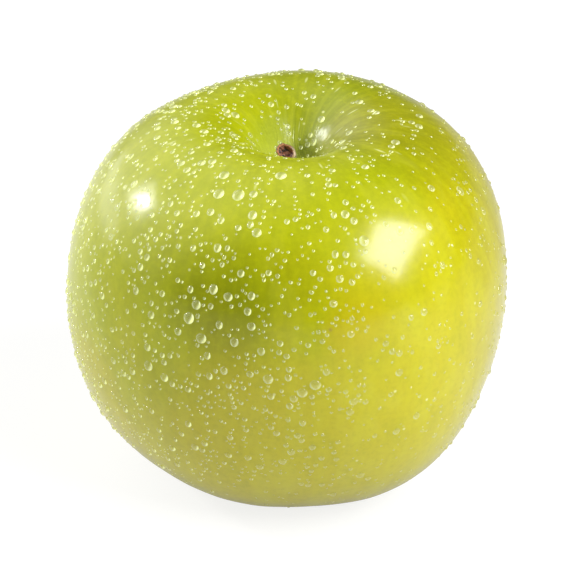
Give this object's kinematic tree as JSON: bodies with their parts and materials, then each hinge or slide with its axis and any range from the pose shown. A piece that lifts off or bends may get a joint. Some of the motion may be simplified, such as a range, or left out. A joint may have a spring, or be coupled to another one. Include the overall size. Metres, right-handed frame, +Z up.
{
  "type": "green apple",
  "caption": "Round green apple standing upright on a small flat foot, with a stem hollow on top, a short woody stem and a dried calyx in the basin below.",
  "frame": {"origin": "on the resting surface, under the middle of the fruit's outline in plan", "axes": "+Z up through the fruit from the calyx basin to the stem cavity; the stem's end leans towards -Y; +X is to the right of a viewer who faces +Y"},
  "size_m": [0.0802, 0.0802, 0.0696],
  "materials": {
    "apple_skin": "gloss",
    "stem_bark": "matte",
    "dried_calyx": "matte",
    "water": "polished"
  },
  "bodies": {
    "root": {"fruit": "apple_skin", "stem": "stem_bark", "sepal_1": "dried_calyx", "sepal_2": "dried_calyx", "sepal_3": "dried_calyx", "sepal_4": "dried_calyx", "sepal_5": "dried_calyx"}
  },
  "joints": []
}
